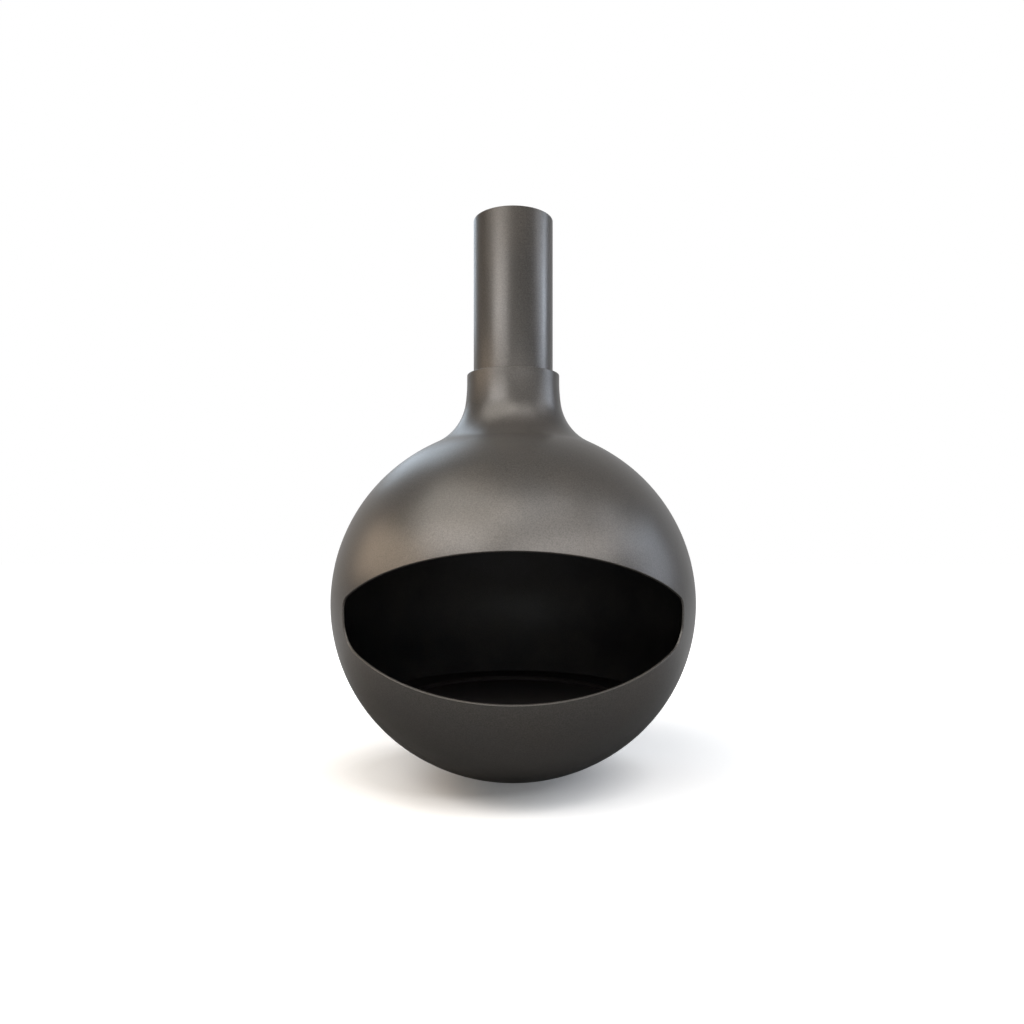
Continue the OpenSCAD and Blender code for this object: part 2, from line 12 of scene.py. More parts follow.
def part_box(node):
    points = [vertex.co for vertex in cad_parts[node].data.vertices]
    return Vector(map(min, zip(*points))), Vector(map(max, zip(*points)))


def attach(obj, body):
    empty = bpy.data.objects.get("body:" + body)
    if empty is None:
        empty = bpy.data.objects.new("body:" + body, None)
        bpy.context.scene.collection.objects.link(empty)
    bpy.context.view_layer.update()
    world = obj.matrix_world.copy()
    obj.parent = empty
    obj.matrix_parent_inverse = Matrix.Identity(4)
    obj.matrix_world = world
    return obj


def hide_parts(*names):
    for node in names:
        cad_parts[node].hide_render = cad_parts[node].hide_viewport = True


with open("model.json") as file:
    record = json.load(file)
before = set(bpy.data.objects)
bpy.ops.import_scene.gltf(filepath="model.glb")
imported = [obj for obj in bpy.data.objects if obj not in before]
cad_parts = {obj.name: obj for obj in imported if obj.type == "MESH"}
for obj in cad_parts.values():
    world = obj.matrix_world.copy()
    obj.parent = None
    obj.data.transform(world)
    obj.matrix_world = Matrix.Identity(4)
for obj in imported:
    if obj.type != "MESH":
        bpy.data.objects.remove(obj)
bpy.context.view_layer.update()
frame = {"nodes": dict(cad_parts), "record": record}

bl_info = {
    "name": "Hanging Fireplace",
    "version": (1, 0, 0),
    "blender": (4, 5, 0),
    "location": "View3D > Sidebar > Fireplace",
    "description": "Builds the visible pieces and finishes of a hanging fireplace round its packed frame",
    "category": "Add Mesh",
}

NODES = frame["nodes"]
BODY_OF = {node: body for body, nodes in frame["record"]["behaviour"]["bodies"].items() for node in nodes}
SLOT_OF = {part["node"]: part["material_slot"] for part in frame["record"]["subparts"]}
SLOT_COLOUR = {slot["slot"]: slot["base_color"] for slot in frame["record"]["materials"]}

SHELL_LOW, SHELL_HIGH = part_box("globe_bottom")[0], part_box("globe_top")[1]
PIPE_LOW, PIPE_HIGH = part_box("flue_pipe")
PAN_LOW, PAN_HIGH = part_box("fire_pan")
LINER_LOW, LINER_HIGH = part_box("flue_liner")
BUSH_LOW, BUSH_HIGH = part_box("guide_bush")
SPRING_LOW, SPRING_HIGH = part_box("damper_spring")
FULL_TURN = 2 * math.pi


# ---- sizes and colours a user would change

def length(name, description, default):
    """A size in metres."""
    return FloatProperty(name=name, description=description, default=default, min=0.0, subtype="DISTANCE",
                         unit="LENGTH", precision=4)


def tilt(name, description, degrees):
    """An angle, given in degrees."""
    return FloatProperty(name=name, description=description, default=math.radians(degrees), subtype="ANGLE")


def colour(name, description, slot):
    """A colour that starts as the recorded colour of a slot."""
    return FloatVectorProperty(name=name, description=description, size=3, subtype="COLOR", min=0, max=1,
                               default=SLOT_COLOUR[slot])


class FIREPLACE_PG_globe(bpy.types.PropertyGroup):
    """Sizes of the pressed globe and its mouth"""
    diameter: length("Diameter", "Widest diameter of the globe", 0.9)
    height: length("Height", "From the globe's lowest point to its crown", 0.876)
    wall: length("Wall", "Thickness of the globe and its neck", 0.005)
    edge: length("Edge rounding", "Rounding of the mouth's edges", 0.0012)
    apex: length("Mouth apex", "How far in front of the axis the mouth's two planes meet", 0.166)
    drop: length("Mouth drop", "How far below the globe's centre they meet", 0.026)
    rise: tilt("Mouth rise", "Angle at which the upper plane rises", 31.8)
    fall: tilt("Mouth fall", "Angle at which the lower plane falls", 30.2)
    half_angle: tilt("Mouth half angle", "From the front to each end of the mouth", 56.9)
    upper_corner: length("Upper corners", "Rounding of the mouth's upper corners", 0.034)
    lower_corner: length("Lower corners", "Rounding of the mouth's lower corners", 0.072)


class FIREPLACE_PG_neck(bpy.types.PropertyGroup):
    """Sizes of the neck"""
    diameter: length("Diameter", "Outer diameter at the rim", 0.233)
    waist: length("Waist radius", "Radius of the long curve under the rim", 0.4155)
    flare: length("Flare radius", "Radius of the curve that runs into the globe", 0.133)
    flare_out: length("Flare offset", "From the neck out to where the flare would be narrowest", 0.0025)
    straight: length("Straight length", "Straight length under the rim", 0.016)
    rim: length("Rim rounding", "Rounding of the rim's outer edge", 0.002)


class FIREPLACE_PG_flue(bpy.types.PropertyGroup):
    """Sizes of the flue"""
    wall: length("Tube wall", "Wall thickness of the carrying tube", 0.003)
    liner_wall: length("Liner wall", "Wall thickness of the smoke liner", 0.001)
    liner_diameter: length("Liner diameter", "Outer diameter of the smoke liner", 0.15)
    socket_depth: length("Socket depth", "Depth of the socket at the liner's top", 0.05)
    columns: IntProperty(name="Columns", description="Faces round each turned piece", default=160, min=24)


class FIREPLACE_PG_finish(bpy.types.PropertyGroup):
    """Colours of the finishes"""
    paint: colour("Paint", "Satin heat-proof paint of the globe and the flue", "painted_steel")
    bare_steel: colour("Bare steel", "Rings and lugs inside", "plain_steel")
    hot_steel: colour("Throat black", "Throat, damper plate and lever", "hot_steel")
    hearth: colour("Hearth black", "Ledge inside the globe", "hearth_steel")
    pan: colour("Pan black", "Fire pan", "pan_steel")
    refractory: colour("Refractory", "Dish under the pan", "refractory")


class FIREPLACE_PG_stage(bpy.types.PropertyGroup):
    """Floor, camera and lights"""
    floor_gap: length("Floor gap", "From the globe's lowest point down to the floor", 0.025)
    camera_back: length("Camera distance", "From the axis to the camera", 1.883)
    camera_height: FloatProperty(name="Camera height", description="Height of the camera", default=-0.7818,
                                 subtype="DISTANCE", unit="LENGTH")
    lens: FloatProperty(name="Lens", description="Focal length", default=26.12, unit="CAMERA")
    light: FloatProperty(name="Light", description="Share of the lights' full power", default=1.0, min=0.0)


# ---- materials

def add(tree, kind, inputs=None, out=0, **settings):
    """One of the outputs of a new node with its settings, and with each input set or linked."""
    made = tree.nodes.new(kind)
    for key, value in settings.items():
        setattr(made, key, value)
    for key, value in (inputs or {}).items():
        if isinstance(value, bpy.types.NodeSocket):
            tree.links.new(value, made.inputs[key])
        else:
            made.inputs[key].default_value = value
    return made.outputs[out]


def maths(tree, operation, *values):
    """One step of arithmetic on linked or plain numbers."""
    return add(tree, "ShaderNodeMath", dict(enumerate(values)), operation=operation)


def blank_material(name):
    """A material that holds only its output."""
    material = bpy.data.materials.new(name)
    material.use_nodes = True
    material.node_tree.nodes.clear()
    return material, material.node_tree, material.node_tree.nodes.new("ShaderNodeOutputMaterial")


def mix_colour(tree, factor, first, second):
    """A mix of two plain colours by a linked factor."""
    return add(tree, "ShaderNodeMix", {0: factor, 6: (*first[:3], 1), 7: (*second[:3], 1)}, 2,
               data_type="RGBA")


def remap(tree, value, low, high, out_low, out_high):
    """A linked value carried from one span to another, held at the ends."""
    return add(tree, "ShaderNodeMapRange", {"Value": value, "From Min": low, "From Max": high,
                                            "To Min": out_low, "To Max": out_high})


def surface(name, base, patch, roughness, rough_spread, metallic, specular, patch_scale, patch_share,
            grain_scale, grain_depth, grain_tone, stretch=(1, 1, 1)):
    """A worked metal or mineral surface: patches of a second colour, a roughness that follows them, and a
    fine grain that also lifts the surface."""
    material, tree, output = blank_material(name)
    place = add(tree, "ShaderNodeTexCoord", out="Object")
    placed = add(tree, "ShaderNodeMapping", {"Vector": place, "Scale": stretch})
    patches = add(tree, "ShaderNodeTexNoise", {"Vector": placed, "Scale": patch_scale, "Detail": 5.0,
                                               "Roughness": 0.55}, "Fac")
    grain = add(tree, "ShaderNodeTexNoise", {"Vector": placed, "Scale": grain_scale, "Detail": 2.0,
                                             "Roughness": 0.6}, "Fac")
    tone = mix_colour(tree, remap(tree, patches, 0.38, 0.66, 0.0, patch_share), base, patch)
    speck = remap(tree, grain, 0.3, 0.7, 1 - grain_tone, 1 + grain_tone)
    speckled = add(tree, "ShaderNodeVectorMath", {0: tone, 1: speck}, operation="MULTIPLY")
    rough = remap(tree, patches, 0.35, 0.65, roughness - rough_spread, roughness + rough_spread)
    bump = add(tree, "ShaderNodeBump", {"Strength": 0.6, "Distance": grain_depth, "Height": grain})
    shader = add(tree, "ShaderNodeBsdfPrincipled", {
        "Base Color": speckled, "Roughness": rough, "Normal": bump, "Metallic": metallic,
        "Specular IOR Level": specular})
    tree.links.new(shader, output.inputs["Surface"])
    return material


def shade(base, factor):
    """A colour made darker or lighter."""
    return tuple(min(1.0, channel * factor) for channel in base)


def finishes(context):
    """For each finish: base colour (None is the recorded one), colour of its patches, roughness and its
    spread, metallic, specular, scale and share of the patches, scale, depth and tone of the grain, and
    for two of them how all this is stretched."""
    tints = context.scene.fireplace_finish
    paint, bare, dish = shade(tints.paint, 0.62), tints.bare_steel, tints.refractory
    warm_paint = (paint[0] * 1.14, paint[1] * 1.06, paint[2] * 0.97)
    # the pan's colour is lifted 1.6 times over its recorded one: painted light, standing in for the light
    # that hardly reaches the pan inside the globe
    black, sooty, pan = (0.024, 0.024, 0.025), (0.040, 0.038, 0.036), shade(tints.pan, 1.6)
    return {
        "satin_paint": (paint, warm_paint, 0.35, 0.03, 0.4, 0.5, 4.0, 0.6, 330.0, 0.00007, 0.24),
        "chamber_black": (black, sooty, 0.62, 0.12, 0.0, 0.3, 9.0, 0.9, 500.0, 0.00004, 0.3),
        "liner_steel": (None, (0.42, 0.38, 0.33), 0.32, 0.05, 1.0, 0.5, 5.0, 0.6, 60.0, 0.00004, 0.08,
                        (1, 1, 40)),
        "ceramic_wool": (None, (0.62, 0.58, 0.50), 0.95, 0.05, 0.0, 0.1, 30.0, 0.6, 400.0, 0.0006, 0.2),
        "plain_steel": (bare, shade(bare, 0.6), 0.42, 0.1, 0.85, 0.5, 16.0, 0.6, 350.0, 0.00004, 0.15),
        "fastener_steel": (None, (0.30, 0.30, 0.33), 0.34, 0.05, 0.95, 0.5, 60.0, 0.6, 800.0, 0.00004, 0.12),
        "bearing_steel": (None, (0.52, 0.52, 0.54), 0.14, 0.05, 1.0, 0.5, 20.0, 0.6, 300.0, 0.00001, 0.04),
        "cage_brass": (None, (0.42, 0.29, 0.10), 0.32, 0.05, 1.0, 0.5, 25.0, 0.6, 500.0, 0.00004, 0.12),
        "bush_bronze": (None, (0.20, 0.13, 0.06), 0.45, 0.05, 0.9, 0.5, 60.0, 0.6, 400.0, 0.00004, 0.25),
        "hot_steel": (tints.hot_steel, (0.045, 0.036, 0.030), 0.6, 0.1, 0.2, 0.35, 12.0, 0.6, 450.0,
                      0.00004, 0.25),
        "glass_rope": (None, (0.40, 0.37, 0.31), 0.9, 0.05, 0.0, 0.15, 80.0, 0.6, 500.0, 0.0008, 0.3,
                       (1, 1, 3)),
        "hearth_steel": (tints.hearth, (0.030, 0.027, 0.024), 0.5, 0.1, 0.1, 0.4, 10.0, 0.6, 420.0,
                         0.00004, 0.3),
        "pan_steel": (pan, (0.050, 0.047, 0.044), 0.42, 0.1, 0.2, 0.45, 8.0, 0.6, 420.0, 0.00004, 0.25),
        "refractory": (dish, shade(dish, 0.7), 0.95, 0.05, 0.0, 0.15, 22.0, 0.6, 160.0, 0.0009, 0.3),
        "spring_steel": (None, (0.3, 0.28, 0.25), 0.3, 0.05, 1.0, 0.5, 50.0, 0.6, 600.0, 0.00004, 0.12),
    }


def finish(context, slot):
    """The material of a slot, made when it is first asked for."""
    name = "satin_paint" if slot == "painted_steel" else slot
    made = bpy.data.materials.get(name)
    if made is None:
        base, *rest = finishes(context)[name]
        made = surface(name, base or SLOT_COLOUR[name], *rest)
    return made


def dress(context, *names, slot=None):
    """Gives CAD nodes the material of their own slot, or of another one."""
    for name in names:
        held = NODES[name].data.materials
        held.clear()
        held.append(finish(context, slot or SLOT_OF[name]))


def settle(piece, *nodes):
    """Makes a finished piece stand for its CAD nodes and ride on their body."""
    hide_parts(*nodes)
    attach(piece, BODY_OF[nodes[0]])


# ---- geometry trees

def geometry_tree(name, numbers):
    """An empty geometry tree with a geometry and a finish coming in, and the named kinds of numbers."""
    tree = bpy.data.node_groups.new(name, "GeometryNodeTree")
    tree.interface.new_socket("Geometry", in_out="OUTPUT", socket_type="NodeSocketGeometry")
    tree.interface.new_socket("Geometry", in_out="INPUT", socket_type="NodeSocketGeometry")
    tree.interface.new_socket("Finish", in_out="INPUT", socket_type="NodeSocketMaterial")
    for label, kind in numbers.items():
        tree.interface.new_socket(label, in_out="INPUT", socket_type="NodeSocket" + kind)
    return tree, tree.nodes.new("NodeGroupInput").outputs, tree.nodes.new("NodeGroupOutput").inputs


def close_tree(tree, geometry, given, result):
    """Ends a tree: real copies, smooth shading and the finish."""
    real = add(tree, "GeometryNodeRealizeInstances", {"Geometry": geometry})
    shaded = add(tree, "GeometryNodeSetShadeSmooth", {"Geometry": real, "Shade Smooth": True})
    dressed = add(tree, "GeometryNodeSetMaterial", {"Geometry": shaded, "Material": given["Finish"]})
    tree.links.new(dressed, result[0])
    return tree


def turned_tree(name):
    """Turns an outline, given as a row of points in the XZ plane, once round the Z axis."""
    tree, given, result = geometry_tree(name, {"Columns": "Int"})
    rows = add(tree, "GeometryNodeAttributeDomainSize", {"Geometry": given["Geometry"]}, "Point Count")
    more = maths(tree, "ADD", given["Columns"], 1.0)
    grid = add(tree, "GeometryNodeMeshGrid", {"Vertices X": more, "Vertices Y": rows}, "Mesh")
    index = add(tree, "GeometryNodeInputIndex")
    row = maths(tree, "MODULO", index, rows)
    column = maths(tree, "FLOOR", maths(tree, "DIVIDE", index, rows))
    position = add(tree, "GeometryNodeInputPosition")
    point = add(tree, "GeometryNodeSampleIndex", {
        "Geometry": given["Geometry"], "Value": position, "Index": row}, data_type="FLOAT_VECTOR")
    angle = maths(tree, "MULTIPLY", maths(tree, "DIVIDE", column, given["Columns"]), FULL_TURN)
    spun = add(tree, "ShaderNodeVectorRotate", {"Vector": point, "Angle": angle}, rotation_type="Z_AXIS")
    placed = add(tree, "GeometryNodeSetPosition", {"Geometry": grid, "Position": spun})
    merged = add(tree, "GeometryNodeMergeByDistance", {"Geometry": placed, "Distance": 1e-6})
    return close_tree(tree, merged, given, result)


def ring_tree(name):
    """Sets copies of a piece at even steps round the Z axis."""
    tree, given, result = geometry_tree(name, {"Count": "Int", "Radius": "Float", "Level": "Float"})
    points = add(tree, "GeometryNodePoints", {"Count": given["Count"]})
    index = add(tree, "GeometryNodeInputIndex")
    angle = maths(tree, "MULTIPLY", maths(tree, "DIVIDE", index, given["Count"]), FULL_TURN)
    reach = add(tree, "ShaderNodeCombineXYZ", {"X": given["Radius"], "Z": given["Level"]})
    spot = add(tree, "ShaderNodeVectorRotate", {"Vector": reach, "Angle": angle}, rotation_type="Z_AXIS")
    placed = add(tree, "GeometryNodeSetPosition", {"Geometry": points, "Position": spot})
    turn = add(tree, "ShaderNodeCombineXYZ", {"Z": angle})
    copies = add(tree, "GeometryNodeInstanceOnPoints", {
        "Points": placed, "Instance": given["Geometry"], "Rotation": turn})
    return close_tree(tree, copies, given, result)


def coil_tree(name):
    """Winds a round wire into a coil along the X axis."""
    tree, given, result = geometry_tree(name, {
        "Turns": "Float", "Radius": "Float", "Wire": "Float", "Length": "Float", "Start": "Vector"})
    path = add(tree, "GeometryNodeCurveSpiral", {
        "Resolution": 40, "Rotations": given["Turns"], "Start Radius": given["Radius"],
        "End Radius": given["Radius"], "Height": given["Length"]})
    section = add(tree, "GeometryNodeCurvePrimitiveCircle", {"Resolution": 14, "Radius": given["Wire"]})
    wire = add(tree, "GeometryNodeCurveToMesh", {
        "Curve": path, "Profile Curve": section, "Fill Caps": True})
    laid = add(tree, "GeometryNodeTransform", {
        "Geometry": wire, "Translation": given["Start"], "Rotation": (0, math.pi / 2, 0)})
    return close_tree(tree, laid, given, result)


SHARP_ANGLE = math.radians(35)  # edges that bend more than this stay crisp
CHAMFER_SHARE = 0.4             # the most of a side that the flat on its corner takes


def grow(name, base, maker, material, **numbers):
    """Runs a geometry tree, made once and then shared, and keeps the result as a plain mesh object."""
    tree = bpy.data.node_groups.get(maker.__name__) or maker(maker.__name__)
    seed = bpy.data.objects.new(name + "_seed", base)
    bpy.context.scene.collection.objects.link(seed)
    modifier = seed.modifiers.new("Grow", "NODES")
    modifier.node_group = tree
    names = {item.name: item.identifier for item in tree.interface.items_tree if item.in_out == "INPUT"}
    modifier[names["Finish"]] = material
    for key, value in numbers.items():
        modifier[names[key]] = value
    evaluated = seed.evaluated_get(bpy.context.evaluated_depsgraph_get())
    made = bpy.data.meshes.new_from_object(evaluated)
    bpy.data.objects.remove(seed)
    if not made.polygons:
        raise RuntimeError(f"the tree made nothing for {name}")
    body = bmesh.new()
    body.from_mesh(made)
    bmesh.ops.recalc_face_normals(body, faces=body.faces)
    body.to_mesh(made)
    body.free()
    made.name = name
    made.set_sharp_from_angle(angle=SHARP_ANGLE)
    piece = bpy.data.objects.new(name, made)
    bpy.context.scene.collection.objects.link(piece)
    return piece


def outline_mesh(points, closed=True):
    """A row of (radius, height) points as a mesh of edges in the XZ plane."""
    rows = [(r, 0.0, z) for r, z in points]
    if closed:
        rows.append(rows[0])
    mesh = bpy.data.meshes.new("outline")
    mesh.from_pydata(rows, [(i, i + 1) for i in range(len(rows) - 1)], [])
    return mesh


def turned(context, node, points, closed=True):
    """A piece turned from an outline, in place of its CAD node."""
    columns = context.scene.fireplace_flue.columns
    piece = grow(node + "_turned", outline_mesh(points, closed), turned_tree,
                 finish(context, SLOT_OF[node]), Columns=columns)
    settle(piece, node)


def chamfered(outline, size):
    """Cuts each corner of a closed outline back by a small flat."""
    cut = []
    for i, corner in enumerate(outline):
        here = Vector(corner)
        for other in (outline[i - 1], outline[(i + 1) % len(outline)]):
            way = Vector(other) - here
            cut.append(tuple(here + way.normalized() * min(size, way.length * CHAMFER_SHARE)))
    return cut


# ---- the globe

def arc(centre, radius, start, end, step, outward=1):
    """Points and outward normals along an arc in the (radius, height) plane."""
    count = max(2, int(abs(end - start) * radius / step))
    angles = np.linspace(start, end, count + 1)
    normals = np.c_[np.cos(angles), np.sin(angles)]
    return np.array(centre) + radius * normals, normals * outward


def joined(*pieces):
    """One row of points from several that share their ends."""
    points = np.vstack([piece[0][1:] if i else piece[0] for i, piece in enumerate(pieces)])
    normals = np.vstack([piece[1][1:] if i else piece[1] for i, piece in enumerate(pieces)])
    return points, normals


# Side and crown are arcs that run into each other where the way square to both rises 4 for every 3 out.
# That puts the side's centre 1.5 times the half sizes' difference out from the axis.
SHOULDER_UP, SHOULDER_OUT, SHOULDER_SINE = 4, 3, 0.8
SIDE_SHARE = 1.5
CURVE_SHARE = 0.7    # the neck's curves have finer steps than the globe by this much
RAY_REACH = 1.25     # how far round the wall a ray is followed, against the globe's half width
RAY_MARGIN = 0.97    # and how near it may come to the shoulder
HALVINGS = 44        # steps in which a ray closes in on the mouth's edge
RAY_STEPS = 4001     # rays that measure the edge before it is divided evenly
TINY = 1e-9


class GlobeForm:
    """The pressed globe's outline and mouth, worked out from its sizes, round the globe's own centre."""

    def __init__(self, globe, neck):
        self.wall = globe.wall
        half_d, half_h = globe.diameter / 2, globe.height / 2
        self.side_x = SIDE_SHARE * (half_d - half_h)
        self.side_r = half_d - self.side_x
        crown_drop = self.side_x * SHOULDER_UP / SHOULDER_OUT
        self.crown_r = half_h + crown_drop
        self.crown_centre = np.array([0, -crown_drop])
        self.neck_r = neck.diameter / 2
        self.flare_r, self.waist_r = neck.flare, neck.waist
        flare_x = self.neck_r + neck.flare + neck.flare_out
        flare_z = math.sqrt((self.crown_r + self.flare_r) ** 2 - flare_x ** 2) - crown_drop
        self.flare_centre = np.array([flare_x, flare_z])
        waist_x = self.neck_r + self.waist_r
        waist_z = flare_z + math.sqrt((self.waist_r - self.flare_r) ** 2 - (waist_x - flare_x) ** 2)
        self.waist_centre = np.array([waist_x, waist_z])
        self.rim = waist_z + neck.straight
        self.rim_round = neck.rim
        self.mouth = globe

    def outline(self, step, depth):
        """The wall's row of points from the bottom pole up to the neck's straight part, depth inside it."""
        shoulder, fine = math.atan2(SHOULDER_UP, SHOULDER_OUT), step * CURVE_SHARE
        to_flare = self.flare_centre - self.crown_centre
        flare_start = math.atan2(to_flare[1], to_flare[0])
        to_waist = self.waist_centre - self.flare_centre
        seam = math.atan2(to_waist[1], to_waist[0])
        return joined(
            arc(-self.crown_centre, self.crown_r - depth, -math.pi / 2, -shoulder, step),
            arc([self.side_x, 0], self.side_r - depth, -shoulder, shoulder, step),
            arc(self.crown_centre, self.crown_r - depth, shoulder, flare_start, step),
            arc(self.flare_centre, self.flare_r + depth, flare_start + math.pi, seam + math.pi, fine, -1),
            arc(self.waist_centre, self.waist_r + depth, seam + math.pi, math.pi, fine, -1))

    def wall_radius(self, height, depth):
        """How far the side's wall is from the axis at a height over or under the globe's middle."""
        return self.side_x + np.sqrt((self.side_r - depth) ** 2 - height ** 2)

    def inside_mouth(self, points):
        """How far points lie inside the mouth's cut, negative outside it."""
        mouth = self.mouth
        x, y, z = points[..., 0], points[..., 1], points[..., 2]
        upper = (-y - mouth.apex) * math.sin(mouth.rise) - (z + mouth.drop) * math.cos(mouth.rise)
        lower = (-y - mouth.apex) * math.sin(mouth.fall) + (z + mouth.drop) * math.cos(mouth.fall)
        least = np.minimum(upper, lower)
        for side in (-1, 1):
            end = -side * math.cos(mouth.half_angle) * x - math.sin(mouth.half_angle) * y
            least = np.minimum(least, end)
            for level, steep, radius in ((upper, mouth.rise, mouth.upper_corner),
                                         (lower, mouth.fall, mouth.lower_corner)):
                slope = math.sin(steep) * math.sin(mouth.half_angle)
                a, b = level - radius, end - radius
                along, across = (a - slope * b) / (1 - slope ** 2), (b - slope * a) / (1 - slope ** 2)
                gap = radius - np.sqrt(np.maximum(0, along ** 2 + across ** 2 + 2 * slope * along * across))
                least = np.where((along < 0) & (across < 0), np.minimum(least, gap), least)
        return least

    def on_wall(self, angle, height, depth):
        """Points on the side's wall, at an angle from the front and a height."""
        radius = self.wall_radius(height, depth)
        return np.stack([radius * np.sin(angle), -radius * np.cos(angle), height + 0 * angle], -1)

    def edge_ring(self, rays, depth, level):
        """Where rays on the wall meet the mouth's edge, as (angle, height) pairs."""
        scale = self.side_x + self.side_r
        near, far = np.zeros(len(rays)), np.full(len(rays), scale * RAY_REACH)
        limit = RAY_MARGIN * self.side_r * SHOULDER_SINE
        far = np.minimum(far, limit / np.maximum(TINY, np.abs(np.sin(rays))))
        for _ in range(HALVINGS):
            middle = (near + far) / 2
            angle, height = middle * np.cos(rays) / scale, middle * np.sin(rays)
            inside = self.inside_mouth(self.on_wall(angle, height, depth)) > level
            near, far = np.where(inside, middle, near), np.where(inside, far, middle)
        return np.stack([near * np.cos(rays) / scale, near * np.sin(rays)], -1)

    def even_rays(self, count):
        """Rays that meet the mouth's edge at even steps."""
        rays = np.linspace(0, FULL_TURN, RAY_STEPS)
        edge = self.edge_ring(rays, 0, 0)
        steps = np.linalg.norm(np.diff(self.on_wall(edge[:, 0], edge[:, 1], 0), axis=0), axis=1)
        run = np.r_[0, np.cumsum(steps)]
        return np.interp(np.linspace(0, run[-1], count, endpoint=False), run, rays)

    def edge_normals(self, points):
        """The way into the mouth, square to its cut faces."""
        small = 1e-5
        ways = np.stack([self.inside_mouth(points + small * axis) - self.inside_mouth(points - small * axis)
                         for axis in np.eye(3)], -1)
        return ways / np.linalg.norm(ways, axis=1, keepdims=True)


class ShellMesh:
    """Collects the vertices, normals and faces of the globe's skin."""

    def __init__(self):
        self.points, self.normals, self.faces, self.inner = [], [], [], []

    def add_points(self, points, normals):
        """Adds points with their normals and tells the numbers they got."""
        start = len(self.points)
        self.points.extend(map(tuple, points))
        self.normals.extend(map(tuple, normals))
        return np.arange(start, len(self.points))

    def add_faces(self, faces, inner):
        """Adds faces, and notes whether they are on the dark inside."""
        self.faces.extend(faces)
        self.inner.extend([inner] * len(faces))

    def drop_unused(self):
        """Leaves out the points that no face uses, such as those inside the mouth."""
        used = sorted({corner for face in self.faces for corner in face})
        place = {old: new for new, old in enumerate(used)}
        self.points = [self.points[old] for old in used]
        self.normals = [self.normals[old] for old in used]
        self.faces = [tuple(place[corner] for corner in face) for face in self.faces]


NEAR_SHARE = 0.45    # points of the grid nearer than this share of a step to the edge are left out
TOUCH = 1e-7         # how near two points are taken as one


def patch_round_mouth(shell, form, grid, heights, angles, rows, columns, ring, ring_index, depth, level,
                      inner):
    """Fills the block of skin round the mouth's edge with triangles that end on the edge."""
    sign = -1 if inner else 1
    scale = form.side_x + form.side_r
    flat, index, kept = [], [], {}

    def note(i, j):
        if (i, j) not in kept:
            kept[i, j] = len(flat)
            flat.append((angles[j] * scale, heights[i] * sign))
            index.append(grid[i, j])
        return kept[i, j]

    border = ([(rows[0], j) for j in range(columns[0], columns[1])]
              + [(i, columns[1]) for i in range(rows[0], rows[1])]
              + [(rows[1], j) for j in range(columns[1], columns[0], -1)]
              + [(i, columns[0]) for i in range(rows[1], rows[0], -1)])
    loop = [note(i, j) for i, j in border]
    edges = list(zip(loop, loop[1:] + loop[:1]))
    spacing = abs(heights[rows[0] + 1] - heights[rows[0]])
    for i in range(rows[0] + 1, rows[1]):
        for j in range(columns[0] + 1, columns[1]):
            spot = form.on_wall(np.array([angles[j]]), np.array([heights[i]]), depth)
            if form.inside_mouth(spot)[0] < level - NEAR_SHARE * spacing:
                note(i, j)
    first = len(flat)
    flat.extend((angle * scale, height * sign) for angle, height in ring)
    index.extend(ring_index)
    count = len(ring)
    edges += [(first + k, first + (k + 1) % count) for k in range(count)]
    placed, _, triangles, sources, _, _ = delaunay_2d_cdt([Vector(p) for p in flat], edges, [], 0, TOUCH)
    if any(not source for source in sources):
        raise RuntimeError("the mouth's edge crosses itself")
    where = np.array([(p.x, p.y) for p in placed])
    faces = []
    for triangle in triangles:
        middle = where[list(triangle)].mean(0)
        spot = form.on_wall(np.array([middle[0] / scale]), np.array([middle[1] * sign]), depth)
        if form.inside_mouth(spot)[0] <= level + TOUCH:
            faces.append(tuple(int(index[sources[k][0]]) for k in triangle))
    shell.add_faces(faces, inner)


OUTER_STEP, INNER_STEP = 0.0085, 0.013  # spacing of the rows outside and inside
INNER_LIP = 0.0006                      # rounding of the rim's inner edge
SKIN_COLUMNS, EDGE_POINTS = 224, 520    # points round the globe, and along the mouth's edge
CLEAR_ANGLE, CLEAR_HEIGHT = 0.06, 0.032  # room for the patch round the mouth's edge, sideways and upright


def skin_outline(form):
    """Rows and normals up the outside, over the rim and down the inside, and the counts of each part."""
    bore = form.neck_r - form.wall
    outer, outer_n = form.outline(OUTER_STEP, 0)
    inner, inner_n = form.outline(INNER_STEP, form.wall)
    rim, rim_r, lip = form.rim, form.rim_round, INNER_LIP
    over = joined(arc([form.neck_r - rim_r, rim - rim_r], rim_r, 0, math.pi / 2, rim_r / 5),
                  arc([bore + lip, rim - lip], lip, math.pi / 2, math.pi, lip / 3))
    neck_up = np.c_[np.full(3, form.neck_r), np.linspace(outer[-1, 1], rim - rim_r, 5)[1:-1]]
    neck_down = np.c_[np.full(3, bore), np.linspace(rim - lip, inner[-1, 1], 5)[1:-1]]
    points = np.vstack([outer, neck_up, over[0], neck_down, inner[::-1]])
    out, back = np.tile([1, 0], (3, 1)), np.tile([-1, 0], (3, 1))
    normals = np.vstack([outer_n, out, over[1], back, -inner_n[::-1]])
    return points, normals, len(outer), len(outer) + len(neck_up) + len(over[0]), len(points) - len(inner)


